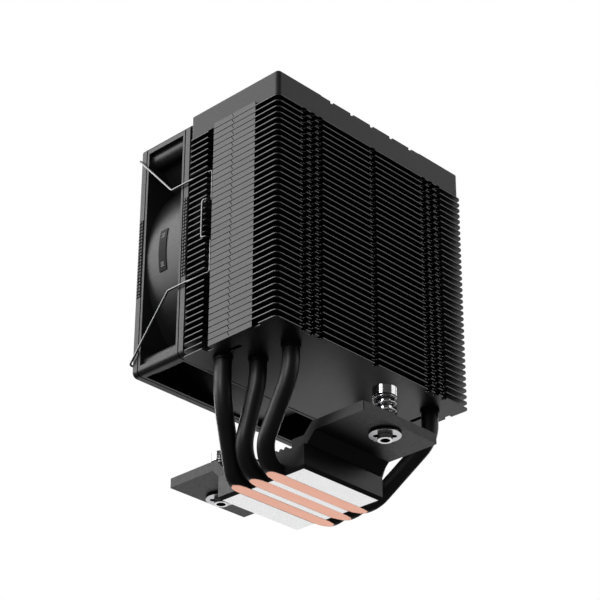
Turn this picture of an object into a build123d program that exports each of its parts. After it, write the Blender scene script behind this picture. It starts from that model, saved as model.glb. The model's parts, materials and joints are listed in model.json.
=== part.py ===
from build123d import *
import os
from math import cos, radians, sin, sqrt, tan

# A single-tower processor cooler with one fan, in millimetres.
# Origin: centre of the cold face of the base. +Z up the tower, +Y away from the fan, +X to its side.

# ---------------------------------------------------------------- driving dimensions
# Fin stack
FIN_WIDTH = 96.0            # along X
FIN_DEPTH = 44.0            # along Y
FIN_THICKNESS = 0.4
FIN_PITCH = 2.37
FIN_COUNT = 37
FIN_CORNER_R = 1.8
STACK_BOTTOM_Z = 38.6
STACK_CENTRE_Y = 13.3       # the tower stands off the base centre, away from the fan
TAB_GAP = 0.3               # dark line between one folded tab and the next fin
TAB_START_Y = 4.0
TAB_END_Y = 24.3
TAB_SEAM = 0.3
TAB_LEAN = -1.2             # how far the seam leans over one tab, towards the fan at its top
CLIP_GROOVE_W = 2.9         # slot for the fan wire, just in front of the tabs
CLIP_GROOVE_D = 2.6
COLLAR_WALL = 0.4
COLLAR_HEIGHT = 1.4
FRONT_RECESS = 0.8
FRONT_RECESS_W = 72.0
NOTCH_W = 2.0               # notches in the rear edge
NOTCH_D = 1.75
NOTCH_XS = (27.0, 30.8, 34.9)
SLOT_W = 1.8
SLOT_L = 6.3
SLOT_X = 41.0
SLOT_OFFSET_Y = 4.0         # slot centre in front of the stack's centre on +X, behind it on -X

# Top cap
CAP_SIDE_INSET = 0.7        # skirt inside the fins' outline, on the two sides
CAP_REAR_INSET = 0.7
CAP_HEIGHT = 9.6
CAP_GAP = 0.8               # between the top fin and the skirt
CAP_WALL = 1.6
CAP_ROOF = 3.0
CAP_CORNER_R = 1.6
CAP_EDGE = 0.4
CAP_POST_R = 2.4
CAP_POST_INSET = 0.8        # post to the inside of the skirt
CAP_FIELD_W = 52.0          # sunk field of the roof
CAP_FIELD_D = 0.6
CAP_GROOVES = 5
CAP_GROOVE_PITCH = 10.3
CAP_GROOVE_W = 1.6
CAP_GROOVE_D = 0.8

# Heat pipes
PIPE_D = 6.0
PIPE_PITCH_Y = 7.9          # centre to centre in the base
PIPE_FLAT_W = 5.2           # width of the ground flat on the cold face
PIPE_FIT = 0.05             # radial gap to fins and base, filled with solder
PIPE_TOP_INSET = 1.6        # pipe tip below the cap's roof
TIP_R = 1.1
TIP_TAPER = 2.6
# (foot corner X, leg corner Z, foot radius, leg radius, leg X, leg Y from the stack's centre)
LEG_OUTER = (23.2, 24.0, 8.4, 23.0, 38.85, -11.6)
LEG_MIDDLE = (29.6, 30.9, 12.7, 26.0, 30.05, -3.9)
LEG_INNER = (28.6, 28.8, 11.8, 22.0, 30.05, 11.3)
LEG_MIDDLE_FAR = (29.6, 30.9, 12.7, 26.0, 30.05, -0.3)
LEG_OUTER_FAR = (24.5, 27.7, 13.0, 15.2, 38.85, 11.6)

# Base
BLOCK_X = 38.0
BLOCK_Y = 40.0
BLOCK_H = 8.5
BLOCK_CHAMFER = 1.1
RIB_PITCH = 2.3
RIB_H = 1.1
RIB_FOOT = 0.84             # share of the pitch that a rib takes at its foot, and at its tip
RIB_TIP = 0.32
RIB_FIELD_Y = 25.3

# Spring-screw brackets
BRACKET_W = 36.0
BRACKET_T = 3.5
BRACKET_FOOT_L = 6.5        # how far the foot reaches in over the block
EAR_END_Y = 45.3
EAR_Z = 12.4                # underside of the ear
RISE_L = 3.7                # plan length of the sloped part
EAR_CORNER_R = 0.4
BRACKET_SCREW_X = 11.0
BRACKET_SCREW_R = 1.5
BRACKET_HEAD_R = 2.6
BRACKET_HEAD_H = 1.5
BRACKET_HEAD_GAP = 0.15
BRACKET_KEY_R = 1.15
BRACKET_KEY_D = 1.0
BRACKET_SCREW_L = 7.0
THREAD_FIT = 0.02

# Spring screws
SCREW_SPACING_Y = 76.8
SCREW_TOP_Z = 28.8
SCREW_HEAD_R = 4.2
SCREW_HEAD_H = 3.5
SCREW_SHANK_R = 2.55
SCREW_END_Z = 9.8
SCREW_BORE_R = 1.65
SCREW_BORE_L = 9.0
SCREW_NECK_R = 2.0          # where the retaining clip sits
SCREW_EDGE = 0.4
NECK_SIDE_GAP = 0.1
DRIVE_SLOT_W = 1.2
DRIVE_SLOT_D = 1.6
EAR_HOLE_GAP = 0.45
E_CLIP_R = 5.4
E_CLIP_T = 0.6
E_CLIP_GAP = 0.3            # to the ear above it
E_CLIP_FIT = 0.06
E_CLIP_MOUTH = 2.8
E_CLIP_TURN = 225.0         # where the mouth points, in degrees from +X
E_CLIP_NICK_R = 1.1         # the two openings beside the grip
E_CLIP_NICK_OUT = 2.9
E_CLIP_NICK_TURN = 85.0     # from the mouth
SPRING_WIRE_R = 0.45
SPRING_R = 3.45
SPRING_TURNS = 3.0
SPRING_SEAT = 0.05

# Fan
FAN_SIZE = 92.0
FAN_DEPTH = 25.0
FAN_CENTRE_Z = 87.5
FAN_HOLE_SPACING = 82.5
FAN_HOLE_R = 2.15
FAN_CORNER_R = 2.0
PAD_T = 1.7                 # rubber pads between fan and fins
PAD_W = 9.0
PAD_EDGE = 0.4              # pad to the fan's or the fins' edge
PAD_R = 1.5
FLANGE_T = 3.6
FLANGE_STRIP = 2.2          # outer strip of the flange, then a groove, then a lip
FLANGE_GROOVE_W = 0.5
FLANGE_GROOVE_D = 0.6
DUCT_R = 43.5
DUCT_WALL = 1.7
POST_R = 3.3
CORNER_COLUMN = 3.2         # square column in each corner, between the flanges
STRUT_W = 4.0
STRUT_T = 3.0
SEAT_R = 19.0
TUBE_R = 4.2
TUBE_LEN = 15.5

# Fan rotor and motor
HUB_R = 18.5
HUB_WALL = 1.7
HUB_FRONT_INSET = 0.8
HUB_RIM_GAP = 1.8           # rim of the hub to the motor seat
BLADES = 9
BLADE_GAP = 0.9
BLADE_T = 1.5
BLADE_ROOT_PITCH = 52.0     # degrees from the fan's plane
BLADE_TIP_PITCH = 31.0
BLADE_ROOT_CHORD = 19.5
BLADE_TIP_CHORD = 27.0
BLADE_CAMBER = 0.09         # share of the chord
BLADE_SINK = 0.8            # how far a blade's root runs into the hub wall
SHAFT_R = 1.5
SHAFT_FIT = 0.04
SLEEVE_R = 3.0
SLEEVE_FIT = 0.03
RETAINER_T = 0.6
RETAINER_R = 2.6
YOKE_T = 0.9
MAGNET_T = 2.0
ROTOR_FIT = 0.03
AIR_GAP = 0.7
CORE_H = 8.0
CORE_POLES = 4
POLE_W = 5.0
COIL_T = 1.6
BOARD_T = 1.2
BOARD_R = 14.6
LABEL_T = 0.3
BARREL_LABEL_W = 3.6
BARREL_LABEL_L = 16.6

# Fan clips
WIRE_R = 0.4
WIRE_GAP = 0.35             # between the wire and what it passes
HOOK_L = 1.0                # hook inside the fan's screw hole
CLIP_UPPER_GAP = 29         # gaps between fins, from the bottom, that the level arms lie in
CLIP_LOWER_GAP = 12
CLIP_KNEE_FORWARD = 9.5     # knee in front of the fins
CLIP_HANDLE_DZ = 7.4        # half the finger grip's height
CLIP_HANDLE_FORWARD = 0.7   # grip in front of the groove
CLIP_BEND_R = 0.8
CLIP_KNEE_R = 1.5
CLIP_SIDE_R = 10.0          # soft bend of the arm behind the fan

# ---------------------------------------------------------------- derived places
PIPE_R = PIPE_D / 2
PIPE_Z = sqrt(PIPE_R ** 2 - (PIPE_FLAT_W / 2) ** 2)
STACK_FRONT_Y = STACK_CENTRE_Y - FIN_DEPTH / 2
STACK_REAR_Y = STACK_CENTRE_Y + FIN_DEPTH / 2
STACK_TOP_Z = STACK_BOTTOM_Z + (FIN_COUNT - 1) * FIN_PITCH + FIN_THICKNESS
CAP_WIDTH = FIN_WIDTH - 2 * CAP_SIDE_INSET
CAP_DEPTH = FIN_DEPTH - CAP_REAR_INSET
CAP_BOTTOM_Z = STACK_TOP_Z + CAP_GAP
CAP_TOP_Z = CAP_BOTTOM_Z + CAP_HEIGHT
CAP_CENTRE_Y = STACK_FRONT_Y + CAP_DEPTH / 2
PIPE_TOP_Z = CAP_TOP_Z - CAP_ROOF - PIPE_TOP_INSET
CLIP_GROOVE_Y = TAB_START_Y - CLIP_GROOVE_W / 2
SCREW_Y = SCREW_SPACING_Y / 2
EAR_TOP_Z = EAR_Z + BRACKET_T
E_CLIP_Z = EAR_Z - E_CLIP_GAP - E_CLIP_T
FAN_REAR_Y = STACK_FRONT_Y - PAD_T
FAN_FRONT_Y = FAN_REAR_Y - FAN_DEPTH
DUCT_OUTER_R = DUCT_R + DUCT_WALL
SEAT_FRONT_Y = FAN_REAR_Y - STRUT_T
HUB_FRONT_Y = FAN_FRONT_Y + HUB_FRONT_INSET
HUB_RIM_Y = SEAT_FRONT_Y - HUB_RIM_GAP
YOKE_R = HUB_R - HUB_WALL - ROTOR_FIT
MAGNET_R = YOKE_R - YOKE_T - ROTOR_FIT
CORE_R = MAGNET_R - MAGNET_T - AIR_GAP


def save(shape, name):
    """Write one sub-part to its own file."""
    export_step(shape, f"parts/{name}.step")


def group(solids):
    """Join separate solids into one shape without fusing them."""
    return Compound(children=list(solids))


def fan_cylinder(radius, y_front, y_rear):
    """A cylinder on the fan's axis between two Y places."""
    middle = (y_front + y_rear) / 2
    return Pos(0, middle, FAN_CENTRE_Z) * Rot(90, 0, 0) * Cylinder(radius, abs(y_rear - y_front))


def fan_ring(outer, inner, y_front, y_rear):
    """A ring on the fan's axis."""
    return fan_cylinder(outer, y_front, y_rear) - fan_cylinder(inner, y_front - 1, y_rear + 1)


def about_fan(shape, degrees):
    """Turn a shape about the fan's axis."""
    centre = Pos(0, 0, FAN_CENTRE_Z)
    return centre * Rot(0, degrees, 0) * centre.inverse() * shape


def round_path(points, radii):
    """Straight runs joined by tangent arcs, one radius for each inner corner."""
    corners = [Vector(*p) for p in points]
    pieces, start = [], corners[0]
    for before, corner, after, radius in zip(corners, corners[1:], corners[2:], radii):
        back = (before - corner).normalized()
        ahead = (after - corner).normalized()
        half = radians(180 - back.get_angle(ahead)) / 2
        first = corner + back * (radius * tan(half))
        last = corner + ahead * (radius * tan(half))
        inward = (back + ahead).normalized()
        centre = corner + inward * (radius / cos(half))
        pieces.append(Line(start, first))
        pieces.append(ThreePointArc(first, centre - inward * radius, last))
        start = last
    pieces.append(Line(start, corners[-1]))
    return Wire(pieces)


def round_bar(points, radii, radius):
    """A round bar swept along straight runs and tangent arcs."""
    path = round_path(points, radii)
    section = Plane(origin=path @ 0, z_dir=path % 0) * Circle(radius)
    return sweep(section, path=path)


# ---------------------------------------------------------------- heat pipes
def leg_places():
    """(side, leg) for each of the two legs of the three pipes, front pipe first."""
    def turned(leg):
        return leg[:5] + (-leg[5],)
    return [(LEG_OUTER, turned(LEG_INNER)), (LEG_MIDDLE, LEG_MIDDLE_FAR), (LEG_INNER, LEG_OUTER_FAR)]


def leg_points(leg, side, y):
    """Foot corner, leg corner and top of one leg, and its two radii."""
    foot_x, corner_z, foot_r, leg_r, x, dy = leg
    top = (side * x, STACK_CENTRE_Y + dy)
    return [(side * foot_x, y, PIPE_Z), (*top, corner_z), (*top, PIPE_TOP_Z - TIP_TAPER)], [foot_r, leg_r]


def pipe_bar(index, radius):
    """A U-shaped bar along one pipe's centre line: level in the base, with a leg at each end."""
    y = (index - 1) * PIPE_PITCH_Y
    plus, minus = leg_places()[index]
    right, right_r = leg_points(plus, 1, y)
    left, left_r = leg_points(minus, -1, y)
    return round_bar(left[::-1] + right, left_r[::-1] + right_r, radius)


def heat_pipe(index):
    """One pipe with its swaged tips, and its underside ground flat in the base."""
    pipe = pipe_bar(index, PIPE_R)
    plus, minus = leg_places()[index]
    for side, leg in ((1, plus), (-1, minus)):
        place = Pos(side * leg[4], STACK_CENTRE_Y + leg[5], PIPE_TOP_Z - TIP_TAPER / 2)
        pipe += place * Cone(PIPE_R, TIP_R, TIP_TAPER)
    return pipe - Pos(0, 0, -PIPE_R) * Box(4 * BLOCK_X, 4 * BLOCK_Y, 2 * PIPE_R)


def pipe_holes():
    """Plan places of the six legs where they pass the fins."""
    places = []
    for plus, minus in leg_places():
        places.append((plus[4], STACK_CENTRE_Y + plus[5]))
        places.append((-minus[4], STACK_CENTRE_Y + minus[5]))
    return places


# ---------------------------------------------------------------- fin stack
def fin_outline(bottom):
    """One fin's flat outline with its notches; the bottom fin has two more."""
    plate = Pos(0, STACK_CENTRE_Y) * RectangleRounded(FIN_WIDTH, FIN_DEPTH, FIN_CORNER_R)
    plate -= Pos(0, STACK_FRONT_Y) * Rectangle(FRONT_RECESS_W, 2 * FRONT_RECESS)
    for x in [side * x for side in (-1, 1) for x in NOTCH_XS] + [0]:
        plate -= Pos(x, STACK_REAR_Y) * RectangleRounded(NOTCH_W, 2 * NOTCH_D, 0.45 * NOTCH_W)
    for side in (-1, 1):
        edge = side * FIN_WIDTH / 2
        plate -= Pos(edge, CLIP_GROOVE_Y) * Rectangle(2 * CLIP_GROOVE_D, CLIP_GROOVE_W)
        slot = Pos(side * SLOT_X, STACK_CENTRE_Y - side * SLOT_OFFSET_Y)
        plate -= slot * RectangleRounded(SLOT_W, SLOT_L, 0.45 * SLOT_W)
        if bottom:
            plate -= Pos(edge, TAB_END_Y + CLIP_GROOVE_W / 2) * Rectangle(CLIP_GROOVE_D, CLIP_GROOVE_W)
    for x, y in pipe_holes():
        plate -= Pos(x, y) * Circle(PIPE_R + PIPE_FIT)
    return plate


def fin_tabs():
    """The folded-up tabs that close the middle of the two narrow sides."""
    height = FIN_PITCH - TAB_GAP
    middle = (TAB_START_Y + TAB_END_Y) / 2
    left, right = middle - TAB_SEAM / 2, middle + TAB_SEAM / 2
    seam = Polygon((left, 0), (right, 0), (right + TAB_LEAN, height), (left + TAB_LEAN, height), align=None)
    wall = Pos(middle, height / 2) * Rectangle(TAB_END_Y - TAB_START_Y, height) - seam
    tabs = []
    for side in (-1, 1):
        inner = side * (FIN_WIDTH / 2 - FIN_THICKNESS / 2) - FIN_THICKNESS / 2
        upright = Plane(origin=(inner, 0, 0), x_dir=(0, 1, 0), z_dir=(1, 0, 0))
        tabs.append(extrude(upright * wall, FIN_THICKNESS))
    return tabs


def fin(bottom=False):
    """One fin at height zero, with the collars that grip the pipes hanging below it."""
    body = extrude(fin_outline(bottom), FIN_THICKNESS) + fin_tabs()
    collar = Circle(PIPE_R + PIPE_FIT + COLLAR_WALL) - Circle(PIPE_R + PIPE_FIT)
    for x, y in pipe_holes():
        body += Pos(x, y, -COLLAR_HEIGHT) * extrude(collar, COLLAR_HEIGHT + FIN_THICKNESS)
    return body


def fin_stack():
    """All the fins, each a solid of its own."""
    upper = fin().solid()
    fins = [Pos(0, 0, STACK_BOTTOM_Z) * fin(bottom=True).solid()]
    for number in range(1, FIN_COUNT):
        fins.append(Pos(0, 0, STACK_BOTTOM_Z + number * FIN_PITCH) * upper)
    return group(fins)


# ---------------------------------------------------------------- top cap
def top_cap():
    """A drawn cover over the pipe tips, standing on the top fin with four hidden posts."""
    outline = RectangleRounded(CAP_WIDTH, CAP_DEPTH, CAP_CORNER_R)
    inside = RectangleRounded(CAP_WIDTH - 2 * CAP_WALL, CAP_DEPTH - 2 * CAP_WALL, CAP_CORNER_R - CAP_WALL / 2)
    middle = Pos(0, CAP_CENTRE_Y, CAP_BOTTOM_Z)
    cap = middle * (extrude(outline, CAP_HEIGHT) - extrude(inside, CAP_HEIGHT - CAP_ROOF))
    cap = chamfer(cap.edges().group_by(Axis.Z)[-1], CAP_EDGE)
    cap -= Pos(0, CAP_CENTRE_Y, CAP_TOP_Z) * Box(CAP_FIELD_W, 2 * CAP_DEPTH, 2 * CAP_FIELD_D)
    for number in range(CAP_GROOVES):
        x = (number - (CAP_GROOVES - 1) / 2) * CAP_GROOVE_PITCH
        floor = Pos(x, CAP_CENTRE_Y, CAP_TOP_Z - CAP_FIELD_D)
        cap -= floor * Box(CAP_GROOVE_W, 2 * CAP_DEPTH, 2 * CAP_GROOVE_D)
    post_x = CAP_WIDTH / 2 - CAP_WALL - CAP_POST_R - CAP_POST_INSET
    post_y = CAP_DEPTH / 2 - CAP_WALL - CAP_POST_R - CAP_POST_INSET
    post_h = CAP_TOP_Z - CAP_ROOF - STACK_TOP_Z
    for x, y in ((post_x, post_y), (-post_x, post_y), (post_x, -post_y), (-post_x, -post_y)):
        cap += Pos(x, CAP_CENTRE_Y + y, STACK_TOP_Z + post_h / 2) * Cylinder(CAP_POST_R, post_h)
    return cap


# ---------------------------------------------------------------- base and brackets
def bracket_screw_places():
    """Plan places of the four bracket screws."""
    y = BLOCK_Y / 2 - BRACKET_FOOT_L / 2
    return [(sx * BRACKET_SCREW_X, sy * y) for sy in (-1, 1) for sx in (-1, 1)]


def base_block():
    """The block that holds the pipes, with a ribbed top between the brackets' feet."""
    block = Pos(0, 0, BLOCK_H / 2) * Box(BLOCK_X, BLOCK_Y, BLOCK_H)
    block = chamfer(block.edges().group_by(Axis.Z)[0], BLOCK_CHAMFER)
    ribs = int(RIB_FIELD_Y / RIB_PITCH)
    for number in range(ribs):
        y = (number - (ribs - 1) / 2) * RIB_PITCH
        foot, tip = RIB_FOOT * RIB_PITCH / 2, RIB_TIP * RIB_PITCH / 2
        profile = Polygon((y - foot, BLOCK_H - 0.1), (y + foot, BLOCK_H - 0.1),
                          (y + tip, BLOCK_H + RIB_H), (y - tip, BLOCK_H + RIB_H), align=None)
        upright = Plane(origin=(-BLOCK_X / 2, 0, 0), x_dir=(0, 1, 0), z_dir=(1, 0, 0))
        block += extrude(upright * profile, BLOCK_X)
    for index in range(3):
        block -= pipe_bar(index, PIPE_R + PIPE_FIT)
    for x, y in bracket_screw_places():
        depth = BRACKET_SCREW_L - BRACKET_T + 0.5
        block -= Pos(x, y, BLOCK_H - depth / 2) * Cylinder(BRACKET_SCREW_R + THREAD_FIT, depth)
    return block


def bracket(side):
    """A Z-bent steel plate: foot on the block, slope, and the ear for the spring screw."""
    edge = BLOCK_Y / 2 + 0.3
    lean = BRACKET_T * (sqrt(RISE_L ** 2 + (EAR_Z - BLOCK_H) ** 2) - (EAR_Z - BLOCK_H)) / RISE_L
    foot = BLOCK_Y / 2 - BRACKET_FOOT_L
    points = [(foot, BLOCK_H), (edge, BLOCK_H), (edge + RISE_L, EAR_Z), (EAR_END_Y, EAR_Z),
              (EAR_END_Y, EAR_TOP_Z), (edge + RISE_L - lean, EAR_TOP_Z), (edge - lean, BLOCK_H + BRACKET_T),
              (foot, BLOCK_H + BRACKET_T)]
    upright = Plane(origin=(-BRACKET_W / 2, 0, 0), x_dir=(0, 1, 0), z_dir=(1, 0, 0))
    plate = extrude(upright * Polygon(*points, align=None), BRACKET_W)
    plate = fillet(plate.edges().filter_by(Axis.Z).group_by(Axis.Y)[-1], EAR_CORNER_R)
    plate -= Pos(0, SCREW_Y, EAR_Z) * Cylinder(SCREW_SHANK_R + EAR_HOLE_GAP, 4 * BRACKET_T)
    for x, y in bracket_screw_places():
        if y > 0:
            plate -= Pos(x, y, BLOCK_H) * Cylinder(BRACKET_SCREW_R + THREAD_FIT, 4 * BRACKET_T)
            sink = BRACKET_HEAD_H + 2 * BRACKET_T
            seat_z = BLOCK_H + BRACKET_T - BRACKET_HEAD_H
            plate -= Pos(x, y, seat_z + sink / 2) * Cylinder(BRACKET_HEAD_R + BRACKET_HEAD_GAP, sink)
    return plate if side > 0 else Rot(0, 0, 180) * plate


def bracket_screws():
    """Four countersunk screws that hold the brackets to the block."""
    top = BLOCK_H + BRACKET_T
    head_z = top - BRACKET_HEAD_H / 2
    screws = []
    for x, y in bracket_screw_places():
        screw = Pos(x, y, head_z) * Cylinder(BRACKET_HEAD_R, BRACKET_HEAD_H)
        screw += Pos(x, y, top - BRACKET_SCREW_L / 2) * Cylinder(BRACKET_SCREW_R, BRACKET_SCREW_L)
        screw -= Pos(x, y, top) * extrude(RegularPolygon(BRACKET_KEY_R, 6), BRACKET_KEY_D, both=True)
        screws.append(screw.solid())
    return group(screws)


# ---------------------------------------------------------------- spring screws
def spring_screw(side):
    """A captive nut-screw: slotted head, shank through the ear, tapped from below."""
    middle = Pos(0, side * SCREW_Y, 0)
    head_z = SCREW_TOP_Z - SCREW_HEAD_H / 2
    head = Pos(0, 0, head_z) * Cylinder(SCREW_HEAD_R, SCREW_HEAD_H)
    head = chamfer(head.edges().group_by(Axis.Z)[-1], SCREW_EDGE)
    shank_l = SCREW_TOP_Z - SCREW_HEAD_H - SCREW_END_Z
    screw = head + Pos(0, 0, SCREW_END_Z + shank_l / 2) * Cylinder(SCREW_SHANK_R, shank_l)
    neck_h = E_CLIP_T + 2 * NECK_SIDE_GAP
    neck = Cylinder(2 * SCREW_SHANK_R, neck_h) - Cylinder(SCREW_NECK_R, neck_h)
    screw -= Pos(0, 0, E_CLIP_Z + E_CLIP_T / 2) * neck
    screw -= Pos(0, 0, SCREW_END_Z + SCREW_BORE_L / 2) * Cylinder(SCREW_BORE_R, SCREW_BORE_L)
    slot = Box(DRIVE_SLOT_W, 1.3 * SCREW_HEAD_R, 2 * DRIVE_SLOT_D)
    for turn in (0, 90):
        screw -= Pos(0, 0, SCREW_TOP_Z) * Rot(0, 0, turn) * slot
    return middle * screw


def e_clip(side):
    """The retaining clip in the shank's neck, just under the ear."""
    disc = Circle(E_CLIP_R) - Circle(SCREW_NECK_R + E_CLIP_FIT)
    disc -= Pos(E_CLIP_R, 0) * Rectangle(2 * E_CLIP_R, E_CLIP_MOUTH)
    for turn in (-E_CLIP_NICK_TURN, E_CLIP_NICK_TURN):
        disc -= Rot(0, 0, turn) * Pos(E_CLIP_NICK_OUT, 0) * Circle(E_CLIP_NICK_R)
    disc = Rot(0, 0, E_CLIP_TURN) * disc
    return Pos(0, side * SCREW_Y, E_CLIP_Z) * extrude(disc, E_CLIP_T)


def spring(side):
    """The helical spring between the ear and the screw's head."""
    seat = SPRING_WIRE_R + SPRING_SEAT
    height = SCREW_TOP_Z - SCREW_HEAD_H - EAR_TOP_Z - 2 * seat
    path = Helix(pitch=height / SPRING_TURNS, height=height, radius=SPRING_R)
    section = Plane(origin=path @ 0, z_dir=path % 0) * Circle(SPRING_WIRE_R)
    return Pos(0, side * SCREW_Y, EAR_TOP_Z + seat) * sweep(section, path=path, is_frenet=True)


# ---------------------------------------------------------------- fan frame
def fan_hole_places():
    """X and Z of the fan's four screw holes."""
    half = FAN_HOLE_SPACING / 2
    return [(sx * half, FAN_CENTRE_Z + sz * half) for sx in (-1, 1) for sz in (-1, 1)]


def fan_corner_places():
    """X and Z of the middles of the fan's four corner columns."""
    half = (FAN_SIZE - CORNER_COLUMN) / 2
    return [(sx * half, FAN_CENTRE_Z + sz * half) for sx in (-1, 1) for sz in (-1, 1)]


def flange(y_front):
    """A square flange plate with a groove round its edge."""
    upright = Plane(origin=(0, y_front + FLANGE_T, FAN_CENTRE_Z), x_dir=(1, 0, 0), z_dir=(0, -1, 0))
    return extrude(upright * RectangleRounded(FAN_SIZE, FAN_SIZE, FAN_CORNER_R), FLANGE_T)


def flange_groove(y_start):
    """The ring that cuts the groove round a flange."""
    upright = Plane(origin=(0, y_start + FLANGE_GROOVE_W, FAN_CENTRE_Z), x_dir=(1, 0, 0), z_dir=(0, -1, 0))
    inner = FAN_SIZE - 2 * FLANGE_GROOVE_D
    kept = RectangleRounded(inner, inner, FAN_CORNER_R - FLANGE_GROOVE_D)
    ring = Rectangle(FAN_SIZE + 2, FAN_SIZE + 2) - kept
    return extrude(upright * ring, FLANGE_GROOVE_W)


def fan_frame():
    """Two flanges, the duct, four screw posts with corner columns, four struts and the motor seat with its tube."""
    frame = flange(FAN_FRONT_Y) + flange(FAN_REAR_Y - FLANGE_T)
    frame += fan_cylinder(DUCT_OUTER_R, FAN_FRONT_Y, FAN_REAR_Y)
    for x, z in fan_hole_places():
        frame += Pos(x, (FAN_FRONT_Y + FAN_REAR_Y) / 2, z) * Rot(90, 0, 0) * Cylinder(POST_R, FAN_DEPTH)
    for x, z in fan_corner_places():
        frame += Pos(x, (FAN_FRONT_Y + FAN_REAR_Y) / 2, z) * Box(CORNER_COLUMN, FAN_DEPTH, CORNER_COLUMN)
    upright = Plane(origin=(0, FAN_REAR_Y + 1, FAN_CENTRE_Z), x_dir=(1, 0, 0), z_dir=(0, -1, 0))
    frame = frame & extrude(upright * RectangleRounded(FAN_SIZE, FAN_SIZE, FAN_CORNER_R), FAN_DEPTH + 2)
    frame -= fan_cylinder(DUCT_R, FAN_FRONT_Y - 1, FAN_REAR_Y + 1)
    frame -= flange_groove(FAN_FRONT_Y + FLANGE_STRIP)
    frame -= flange_groove(FAN_REAR_Y - FLANGE_STRIP - FLANGE_GROOVE_W)
    for x, z in fan_hole_places():
        hole = Rot(90, 0, 0) * Cylinder(FAN_HOLE_R, 2 * FAN_DEPTH)
        frame -= Pos(x, (FAN_FRONT_Y + FAN_REAR_Y) / 2, z) * hole
    strut_l = DUCT_R - SEAT_R + 2.0
    for number in range(4):
        middle = Pos(SEAT_R + strut_l / 2 - 1, FAN_REAR_Y - STRUT_T / 2, FAN_CENTRE_Z)
        frame += about_fan(middle * Box(strut_l, STRUT_T, STRUT_W), 45 + 90 * number)
    frame += fan_cylinder(SEAT_R, SEAT_FRONT_Y, FAN_REAR_Y)
    frame += fan_cylinder(TUBE_R, SEAT_FRONT_Y - TUBE_LEN, SEAT_FRONT_Y)
    return frame - fan_cylinder(SLEEVE_R + SLEEVE_FIT, SEAT_FRONT_Y - TUBE_LEN - 1, SEAT_FRONT_Y)


def fan_pads():
    """Four rubber pads between the fan's corners and the fins."""
    reach_x = min(FAN_SIZE, FIN_WIDTH) / 2 - PAD_EDGE - PAD_W / 2
    reach_z = min(FAN_SIZE / 2 - PAD_EDGE - PAD_W, STACK_TOP_Z - FAN_CENTRE_Z) - PAD_W / 2
    y = STACK_FRONT_Y - PAD_T / 2
    pads = []
    for sx in (-1, 1):
        for sz in (-1, 1):
            pad = Pos(sx * reach_x, y, FAN_CENTRE_Z + sz * reach_z) * Box(PAD_W, PAD_T, PAD_W)
            pads.append(fillet(pad.edges().filter_by(Axis.Y), PAD_R).solid())
    return group(pads)


def barrel_label():
    """The blank plate on the duct's +X side."""
    outer = DUCT_OUTER_R + LABEL_T
    middle_y = FAN_FRONT_Y + 0.48 * FAN_DEPTH
    ring = fan_ring(outer, DUCT_OUTER_R, middle_y - BARREL_LABEL_W / 2, middle_y + BARREL_LABEL_W / 2)
    side = Pos(outer, middle_y, FAN_CENTRE_Z) * Box(outer, 2 * BARREL_LABEL_W, BARREL_LABEL_L)
    return (ring & side).solid()


# ---------------------------------------------------------------- fan rotor and motor
def blade_section(radius, chord, pitch):
    """A cambered blade section, square to a radius and turned to its pitch."""
    half, rise = chord / 2, BLADE_CAMBER * chord
    lower = ThreePointArc((-half, 0), (0, rise), (half, 0))
    upper = ThreePointArc((half, 0), (0, rise + BLADE_T), (-half, 0))
    middle_y = (HUB_FRONT_Y + HUB_RIM_Y) / 2
    upright = Plane(origin=(radius, middle_y, FAN_CENTRE_Z), x_dir=(0, 0, 1), z_dir=(1, 0, 0))
    return upright * Rot(0, 0, pitch) * Pos(0, -rise) * make_face([lower, upper])


def impeller():
    """The hub cup with its swept, twisted blades."""
    hub = fan_cylinder(HUB_R, HUB_FRONT_Y, HUB_RIM_Y)
    hub = fillet(hub.edges().group_by(Axis.Y)[0], 1.4)
    tip_r = DUCT_R - BLADE_GAP
    root_r = HUB_R - HUB_WALL + BLADE_SINK
    middle_pitch = (BLADE_ROOT_PITCH + BLADE_TIP_PITCH) / 2
    middle = (root_r + tip_r) / 2, (BLADE_ROOT_CHORD + BLADE_TIP_CHORD) / 2, middle_pitch
    sections = [blade_section(root_r, BLADE_ROOT_CHORD, BLADE_ROOT_PITCH),
                blade_section(*middle),
                blade_section(tip_r + 3, BLADE_TIP_CHORD, BLADE_TIP_PITCH)]
    blade = loft(sections) & fan_cylinder(tip_r, HUB_FRONT_Y + 0.3, HUB_RIM_Y - 0.3)
    blade = blade - fan_cylinder(root_r, HUB_FRONT_Y - 1, HUB_RIM_Y + 1)
    wheel = hub
    for number in range(BLADES):
        wheel += about_fan(blade, 360 * number / BLADES)
    wheel -= fan_cylinder(HUB_R - HUB_WALL, HUB_FRONT_Y + HUB_WALL, HUB_RIM_Y + 1)
    wheel += fan_cylinder(SHAFT_R + 1.6, HUB_FRONT_Y + 1, HUB_FRONT_Y + HUB_WALL + 2)
    return wheel - fan_cylinder(SHAFT_R + ROTOR_FIT, HUB_FRONT_Y + 1, HUB_FRONT_Y + HUB_WALL + 3)


def rotor_yoke():
    """The steel ring that backs the magnet."""
    return fan_ring(YOKE_R, YOKE_R - YOKE_T, HUB_FRONT_Y + HUB_WALL, HUB_RIM_Y - 0.8)


def magnet_ring():
    """The ring magnet inside the yoke."""
    return fan_ring(MAGNET_R, MAGNET_R - MAGNET_T, HUB_FRONT_Y + HUB_WALL + 2, HUB_RIM_Y - 1.4)


def rotor_shaft():
    """The shaft, pressed into the hub and necked for its retaining ring."""
    shaft = fan_cylinder(SHAFT_R, HUB_FRONT_Y + 1, SEAT_FRONT_Y - 0.3)
    neck_y = SEAT_FRONT_Y - 0.9
    return shaft - fan_ring(2 * SHAFT_R, SHAFT_R - 0.35, neck_y - RETAINER_T, neck_y)


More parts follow.
